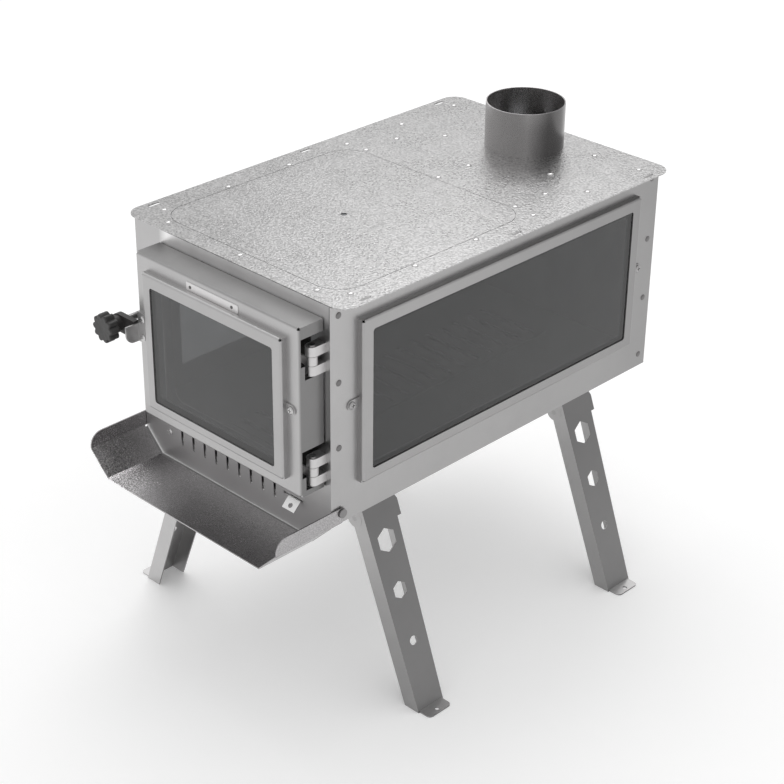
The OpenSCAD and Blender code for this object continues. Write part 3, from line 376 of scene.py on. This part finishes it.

# %% [markdown]
# ## Which steel goes where
# The cooking plate is blasted, so its grain is coarse and sparkles. The tray is a thinner, shinier
# sheet. The hinges are cast and blasted, the collar is rolled from tube, and fire has darkened
# the grate. A few pieces of the same stock get their own mix, with painted shade and light: the side
# sheets and frames are darker, the left legs lighter, and the door's sheets differ by facing.

# %% Mix the steels of the slots
finishes = {
    "sheet_steel": steel("satin_sheet", tone=(0.50, 0.495, 0.495), gloss=0.36),
    "top_steel": steel("blasted_plate", tone=(0.46, 0.456, 0.456), gloss=0.30,
                       grain=0.0019, depth=0.00034, speckle=0.26, smudge=0.04),
    "firebox_steel": steel("fire_darkened_steel", tone=(0.11, 0.105, 0.10), gloss=0.55,
                           grain=0.0008, depth=0.0001, speckle=0.1, smudge=0.12),
    "collar_steel": steel("rolled_tube", tone=(0.42, 0.41, 0.41), gloss=0.26,
                          grain=0.0006, depth=0.00002, speckle=0.04, smudge=0.04, marks=tube_painted_shade_and_light),
    "rivet_steel": steel("rivet_head", tone=(0.56, 0.555, 0.555), gloss=0.24, edge=0.0009),
    "pin_steel": steel("turned_pin", tone=(0.40, 0.395, 0.395), gloss=0.3),
    "hinge_steel": steel("blasted_casting", tone=(0.66, 0.65, 0.65), gloss=0.45,
                         grain=0.0005, depth=0.00006),
    "tray_steel": steel("tray_sheet", tone=(0.44, 0.43, 0.435), gloss=0.24,
                        grain=0.0010, depth=0.0002, speckle=0.26, marks=bright_speckled_corner),
    # Painted light and shade: the legs are lighter or darker by facing, with a painted shade toward foot
    # and hinge.
    "leg_steel": steel("folded_leg_sheet", tone=(0.46, 0.455, 0.455), gloss=0.34,
                       faces=(0.66, 1.0, 1.5), marks=leg_painted_shade),
}
print("steels:", sorted(finishes))

# %% Mix the steels that pieces take of their own, several with painted shade and light
# Painted shade: the side sheets and frames are darker than the front sheet, and darker toward the rear.
painted_shade_side_sheet = steel("painted_shade_side_sheet", tone=(0.42, 0.415, 0.415), gloss=0.36, marks=painted_rear_shade)
painted_shade_side_frame = steel("side_frame_sheet", tone=(0.37, 0.365, 0.365), gloss=0.34, marks=painted_rear_shade)
# Painted light: the left legs are lighter than the right ones, which carry a painted shade; by facing their
# fronts and tops are lighter and their sides darker.
painted_light_left_leg = steel("left_leg_sheet", tone=(0.46, 0.455, 0.455), gloss=0.34, faces=(0.55, 1.15, 1.5))
own_finish = {
    "front_panel": steel("front_sheet", tone=(0.50, 0.495, 0.495), gloss=0.36, marks=front_painted_shade_and_light),
    # Painted light and shade: by facing, the door's sheet is darker on its sides and top than on its front,
    # and its window frame is lighter on top.
    "door_pan": steel("door_sheet", tone=(0.50, 0.495, 0.495), gloss=0.36, faces=(0.46, 1, 0.58)),
    "door_window_frame": steel("door_frame_sheet", tone=(0.48, 0.475, 0.475), gloss=0.34,
                               faces=(0.9, 0.95, 1.3)),
    "side_panel_right": painted_shade_side_sheet,
    "side_panel_left": painted_shade_side_sheet,
    "window_frame_right": painted_shade_side_frame,
    "window_frame_left": painted_shade_side_frame,
    "damper_slide": steel("polished_slide", tone=(0.96, 0.955, 0.95), gloss=0.22),
    "tray_pins": steel("dark_pin", tone=(0.27, 0.265, 0.265), gloss=0.35),
    "leg_front_left": painted_light_left_leg,
    "leg_rear_left": painted_light_left_leg,
}
print("finished apart:", len(own_finish), "pieces")

# %% [markdown]
# ## Glass
# The windows are heat proof ceramic glass, slightly grey, so the cold firebox behind them looks almost
# black and the panes show mainly the studio floor. A thin film of soot dust makes the gloss uneven.
# A dark glossy plate would look much the same from outside, but with the lid off or the door open
# the light has to come through, so the glass lets light pass and only dims it.

# %% Mix the glass
def fire_glass(name, bend):
    """Clear grey glass: light goes through, dimmed by its tone, and wide clouds make the gloss uneven.
    The more it bends light, the more its face mirrors."""
    made = Finish(name, Transmission_Weight=1.0, IOR=bend)
    film = made.cloud(0.03, detail=4)
    tone = made.between(made.spread(film, 0, 1), (0.20, 0.205, 0.21), (0.24, 0.245, 0.25))
    return made.finish(Base_Color=tone, Roughness=made.spread(film, 0.02, 0.05))


finishes["ceramic_glass"] = fire_glass("fire_glass", bend=1.54)
own_finish["door_glass"] = fire_glass("door_fire_glass", bend=1.62)
print("glass:", finishes["ceramic_glass"].name, own_finish["door_glass"].name)

# %% [markdown]
# ## Seal and black parts
# A woven black fibre seal lies round each pane. The knob is moulded, half matt and pebbled, and the
# latch arm behind it is steel with a black coat that is thin along its edges. Both skins are lighter
# along their edges, partly where they are worn and partly as a painted highlight. Real strands of cord
# would be thousands of faces for a line a few millimetres wide, so the weave is a pattern with a bump.

# %% Mix the seal and the black skins
# The lighter black of worn spots and of painted highlights along edges.
worn_and_lit_black = (0.16, 0.155, 0.15)


def fibre_seal():
    """Woven cord: two sets of fine bands crossed, dark between the strands."""
    made = Finish("fibre_seal", Roughness=0.95, Specular_IOR_Level=0.2)
    bricks = {"Vector": made.place, "Scale": 400.0, "Mortar Size": 0.06}
    weave = made.step("ShaderNodeTexBrick", bricks).outputs["Fac"]
    fluff = made.cloud(0.0006, detail=3)
    height = made.plus(made.spread(weave, 1, 0, start=0, stop=1), fluff)
    tone = made.between(made.spread(fluff, 0, 1), (0.018, 0.018, 0.018), (0.06, 0.058, 0.056))
    return made.finish(Base_Color=tone, Normal=made.dent(height, 0.0002))


def black_finish(name, tone, gloss, grain, depth, edge_wear_and_light_share):
    """A black skin with a fine pebble, lighter along its edges, partly from wear and partly as a painted
    highlight.
    """
    made = Finish(name)
    fine = made.cloud(grain)
    wide = made.cloud(0.02, detail=3)
    # The edges are lighter, partly from wear and partly as a painted highlight.
    wear_and_edge_light = made.plus(made.spread(wide, 0, 0.15), made.times(made.worn_and_lit_edges(0.0005), edge_wear_and_light_share))
    colour = made.between(wear_and_edge_light, tone, worn_and_lit_black)
    rough = made.spread(wide, gloss - 0.05, gloss + 0.07)
    rough = made.plus(rough, made.spread(fine, -gloss_swing, gloss_swing))
    return made.finish(Base_Color=colour, Roughness=rough, Normal=made.dent(fine, depth))


finishes["fibre_seal"] = fibre_seal()
finishes["black_steel"] = black_finish("black_coat", tone=(0.022, 0.02, 0.02), gloss=0.42,
                                       grain=0.0006, depth=0.00004, edge_wear_and_light_share=0.3)
finishes["black_plastic"] = black_finish("moulded_black", tone=(0.026, 0.025, 0.025), gloss=0.40,
                                         grain=0.0005, depth=0.00003, edge_wear_and_light_share=0.10)
print("black finishes:", [name for name in finishes if name.startswith("black")])

# %% [markdown]
# ## Finishing the solids
# Each solid names the slot of its stock in the record. A piece takes its own mix where it has one,
# and otherwise the slot's. The solids' shapes and places stay untouched: only their finish is set.

# %% Give each solid its finish
slot_of = {part["node"]: part["material_slot"] for part in frame["record"]["subparts"]}
for name, piece in stove.items():
    piece.data.materials.clear()
    piece.data.materials.append(own_finish.get(name, finishes[slot_of[name]]))
print("finished:", {slot: sum(s == slot for s in slot_of.values()) for slot in finishes})

# %% [markdown]
# ## The floor
# A plain pale floor, wide enough to fill the view, catches the soft shadow. It is matt, and gives a
# little light of its own so that it is as white as the room and has no edge. A curved backdrop
# would hide the far edge too, but from a low view its bend shows.

# %% Lay the floor
floor_reach = 20.0
floor_lines = 21


def floor_finish():
    """Matt white with a trace of unevenness."""
    made = Finish("studio_floor", Roughness=0.85, Specular_IOR_Level=0.1, Emission_Strength=0.16)
    made.shader.inputs["Emission Color"].default_value = (1, 1, 1, 1)
    tone = made.between(made.spread(made.cloud(0.4), 0, 1), (0.90, 0.90, 0.90), (0.92, 0.92, 0.92))
    return made.finish(Base_Color=tone)


def ground(name, reach, lines):
    """A level square grid: x and y run from minus reach to reach in equal steps, and z is 0."""
    line = np.linspace(-reach, reach, lines)
    x, y = np.meshgrid(line, line)
    places = np.stack([x, y, np.zeros_like(x)], -1).reshape(-1, 3)
    corner = (np.arange(lines - 1)[:, None] * lines + np.arange(lines - 1)).reshape(-1, 1)
    faces = corner + np.array([0, 1, lines + 1, lines])
    mesh = bpy.data.meshes.new(name)
    mesh.from_pydata(places.tolist(), [], faces.tolist())
    made = bpy.data.objects.new(name, mesh)
    bpy.context.scene.collection.objects.link(made)
    return made


floor = ground("studio_floor", floor_reach, floor_lines)
floor.data.materials.append(floor_finish())
print("floor:", len(floor.data.polygons), "squares")

# %% [markdown]
# ## Shapes from numbers
# A small turned or moulded piece is easiest as a stack of rings: a grid of points where one
# parameter goes round and the other goes along. It could be spun or modelled by hand from a cylinder,
# but a formula keeps its measures exact. One function makes the mesh for all of them.

# %% Join rings into a closed skin
smooth_up_to = math.radians(40)


def skin(name, rings, finish, body):
    """rings[v, u] is the place of point u on ring v, and rings[k, v, u] makes several skins in one piece.
    Four neighbours make a face, and the first and last ring are filled. Normals are then worked out
    afresh so that every face looks outward."""
    along, around = rings.shape[-3:-1]
    start = np.arange(along - 1)[:, None] * around
    here = start + np.arange(around)
    beside = start + (np.arange(around) + 1) % around
    walls = np.stack([here, beside, beside + around, here + around], -1).reshape(-1, 4)
    ends = np.stack([np.arange(around), np.arange(around) + (along - 1) * around])
    skips = range(0, rings.size // 3, along * around)
    faces = [face for skip in skips for face in (walls + skip).tolist() + (ends + skip).tolist()]
    mesh = bpy.data.meshes.new(name)
    mesh.from_pydata(rings.reshape(-1, 3).tolist(), [], faces)
    outward = bmesh.new()
    outward.from_mesh(mesh)
    bmesh.ops.recalc_face_normals(outward, faces=outward.faces)
    outward.to_mesh(mesh)
    outward.free()
    mesh.shade_smooth()
    mesh.set_sharp_from_angle(angle=smooth_up_to)
    mesh.materials.append(finish)
    made = bpy.data.objects.new(name, mesh)
    bpy.context.scene.collection.objects.link(made)
    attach(made, body)
    return made


print("edges stay sharp above", round(math.degrees(smooth_up_to)), "degrees")

# %% [markdown]
# ## The star knob
# The latch is turned by a moulded knob with ten finger lobes. Its outline is a circle whose radius
# swings in and out ten times. The front is slightly crowned and every edge is rounded, because a
# moulded part has no sharp edge. Cutting ten hollows from a disc would leave hard edges to bevel, so
# the outline is drawn as a formula and stepped in ring by ring. It replaces the plain solid knob.

# %% Draw the star
lobes = 10
valley_depth = 0.0024
lobe_length = 0.0116
angle = np.linspace(0, 2 * math.pi, 240, endpoint=False) + math.pi / 2


def star_outline(radius, depth):
    """The radius at each angle: full on a lobe, less by depth in a valley. A cosine that swings from 0
    to 1 once a lobe, raised to a power under 1, makes the lobes wider than the valleys."""
    swing = 0.5 + 0.5 * np.cos(lobes * angle)
    return radius - depth * (1 - swing ** 0.7)


print("valley radius is", round(valley_depth * 1000, 1), "mm less than a lobe's")

# %% Mould the knob
low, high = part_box("star_knob")
knob_x = (low.x + high.x) / 2
knob_z = (low.z + high.z) / 2
knob_radius = (high.x - low.x) / 2
edge_round = 0.0014

# The back stops this far short of the solid's, so that it never touches the latch arm
knob_gap = 0.0001
knob_depth = high.y - low.y - knob_gap

# Each row: how far the ring lies inside the outline, and how far behind the front face
crown = [(0.0112, 0.0004), (0.0095, 0.0003), (0.0075, 0.0002), (0.0050, 0.0002), (0.0030, 0.0001)]
quarter_turn = np.linspace(0, math.pi / 2, 6)
front_edge = [(edge_round * (1 - math.sin(a)), edge_round * (1 - math.cos(a))) for a in quarter_turn]
side_wall = [(0.0, knob_depth * 0.6)]
rear_edge = [(inset, knob_depth - behind) for inset, behind in reversed(front_edge)]
rear_face = [(0.006, knob_depth)]
profile = crown + front_edge + side_wall + rear_edge + rear_face

rings = []
for inset, behind in profile:
    lobe_left = max(1 - inset / lobe_length, 0.0)
    reach = star_outline(knob_radius - inset, valley_depth * lobe_left)
    across = knob_x + reach * np.cos(angle)
    height = knob_z + reach * np.sin(angle)
    rings.append(np.stack([across, np.full_like(angle, low.y + behind), height], -1))
knob = skin("star_knob_moulded", np.array(rings), finishes["black_plastic"], "latch")
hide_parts("star_knob")
print("knob:", len(knob.data.polygons), "faces, radius", round(knob_radius * 1000, 1), "mm")

# %% [markdown]
# ## The small plate
# A small, bare and bright plate is riveted on the door above the window. It is flat, with round
# corners and a soft rim, made as rings that follow a rounded rectangle and step in.
# A bevelled box gives nearly the same, but here the rim's rounding is set ring by ring.

# %% Rivet a bare plate to the door
def rounded_rectangle(width, height, corner, steps):
    """Points round a rectangle: four quarter circles of the corner radius, joined by straight sides."""
    quarter = np.linspace(0, math.pi / 2, steps)
    turns = np.concatenate([quarter + k * math.pi / 2 for k in range(4)])
    signs = np.repeat([[1, 1], [-1, 1], [-1, -1], [1, -1]], steps, axis=0)
    middle = signs * [width / 2 - corner, height / 2 - corner]
    return middle + corner * np.stack([np.cos(turns), np.sin(turns)], -1)


door_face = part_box("door_pan")[0].y
plate_x = centre_line + 0.0105
plate_z = box_floor + 0.17575
plate_width, plate_height, plate_thick = 0.061, 0.0074, 0.0007
plate_corner = 0.0012

# Each row: how far the ring steps in from the plate's outline, and how far it stands off the door
rings = []
for inset, proud in [(0, 0), (0, 0.0004), (0.0002, 0.0006), (0.0005, plate_thick), (0.0009, plate_thick)]:
    corner = plate_corner - inset / 2
    outline = rounded_rectangle(plate_width - 2 * inset, plate_height - 2 * inset, corner, steps=8)
    across = plate_x + outline[:, 0]
    height = plate_z + outline[:, 1]
    rings.append(np.stack([across, np.full(len(outline), door_face - proud), height], -1))
plate_finish = steel("bright_plate", tone=(0.74, 0.73, 0.73), gloss=0.38,
                     grain=0.0005, depth=0.00002, speckle=0.03, smudge=0.04)
plate = skin("bare_plate", np.array(rings), plate_finish, "door")
print("plate:", round(plate_width * 1000), "x", round(plate_height * 1000, 1), "mm")

# %% [markdown]
# ## Rivet heads
# A blind rivet has a low domed head, and the dome is what catches a spark of the lamp on a flat sheet.
# A cut-off ball from the Add menu would do for one. One formula for the dome serves the plate's two
# rivets and all those of the sheets, whichever way they look. The sheets' solids have plain heads, so
# the farthest points of each tell where its tip is, and a dome of the same width and height is put there.

# %% Draw a dome
def domes(tips, axis, sign, radius, proud, rows, top=0.97):
    """Rings of a flattened ball under each tip. Along goes the angle from the rim almost to the tip, and
    across goes the angle round. The axis is the one that the head looks along, and sign its direction."""
    rise = np.linspace(0, top, rows)[:, None] * math.pi / 2
    around = np.linspace(0, 2 * math.pi, 24, endpoint=False)
    out = sign * proud * (np.sin(rise) - 1) + 0 * around
    first = radius * np.cos(rise) * np.cos(around)
    second = radius * np.cos(rise) * np.sin(around)
    shape = np.insert(np.stack([first, second], -1), axis, out, axis=-1)
    return np.asarray(tips)[:, None, None, :] + shape


plate_rivet_finish = steel("plate_rivet", tone=(0.14, 0.135, 0.135), gloss=0.4)
plate_rivet_radius, plate_rivet_height = 0.0014, 0.0007
plate_rivets = []
for name, offset in [("plate_rivet_left", -0.0255), ("plate_rivet_right", 0.0235)]:
    tip = [plate_x + offset, door_face - plate_thick - plate_rivet_height, plate_z]
    head = domes([tip], 1, -1, plate_rivet_radius, plate_rivet_height, rows=6)[0]
    plate_rivets.append(skin(name, head, plate_rivet_finish, "door"))
print("plate rivets:", [rivet.name for rivet in plate_rivets])

# %% Dome the rivet heads of the sheets
head_radius, head_height = 0.0028, 0.0011
same_height = 0.00001
same_head = 0.004


def rivet_tips(name, axis, sign):
    """The middle of each tip: the points farthest along the axis, gathered into groups by nearness."""
    points = np.array([corner.co[:] for corner in stove[name].data.vertices])
    reach = sign * points[:, axis]
    left = points[reach > reach.max() - same_height]
    middles = []
    while len(left):
        near = np.linalg.norm(left - left[0], axis=1) < same_head
        middles.append(left[near].mean(0))
        left = left[~near]
    return np.array(middles)


def heads(name, axis, sign):
    """A dome on each rivet of the node that looks that way."""
    return domes(rivet_tips(name, axis, sign), axis, sign, head_radius, head_height, rows=7)


top_heads = heads("top_rivets", 2, 1)
side_heads = np.concatenate([heads("side_rivets", 0, sign) for sign in (-1, 1)])
# Painted shade: the side rivets get a much darker tone than the top ones.
side_rivet_painted_shade = steel("side_rivet", tone=(0.20, 0.195, 0.195), gloss=0.35)
top_domed = skin("top_rivets_domed", top_heads, finishes["rivet_steel"], "root")
side_domed = skin("side_rivets_domed", side_heads, side_rivet_painted_shade, "root")
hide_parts("top_rivets")
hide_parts("side_rivets")
print("domes:", len(top_heads), "on top,", len(side_heads), "on the sides")

# %% [markdown]
# ## The hem of the apron
# The apron under the front panel ends in a slanted edge at each side. On the left that edge is hemmed
# a little wider behind the tray's slope, so no light shows between the two. It is a flat bar, four
# points round and a few along, which is less work than turning a box to the slant.

# %% Hem the slanted edge
# Where the slant starts: how far out from the centre line, and how far under the firebox floor
slant_out, slant_drop = 0.0929, 0.0230
hem_start, hem_stop = 0.0015, 0.0222
hem_lap, hem_width = 0.0006, 0.0030
hem_face, hem_back = 0.0001, 0.0009


def hem(name):
    """A bar whose section is a small rectangle in the panel's thickness, moved along the slanted edge.
    The slant runs at 45 degrees: outward it goes by along plus across, and upward by along less across."""
    along = np.linspace(hem_start, hem_stop, 8)[:, None]
    across = np.array([-hem_lap, hem_width, hem_width, -hem_lap]) * math.sqrt(0.5)
    depth = np.array([hem_face, hem_face, hem_back, hem_back])
    x = centre_line - (slant_out + along + across)
    y = front_sheet + depth + 0 * along
    z = box_floor - slant_drop + along - across
    # The hem takes the front sheet's finish, with its painted shade under the tray's surface.
    return skin(name, np.stack([x, y, z], -1), own_finish["front_panel"], "root")


apron_hem = hem("apron_hem")
print("hem:", len(apron_hem.data.polygons), "faces")

# %% [markdown]
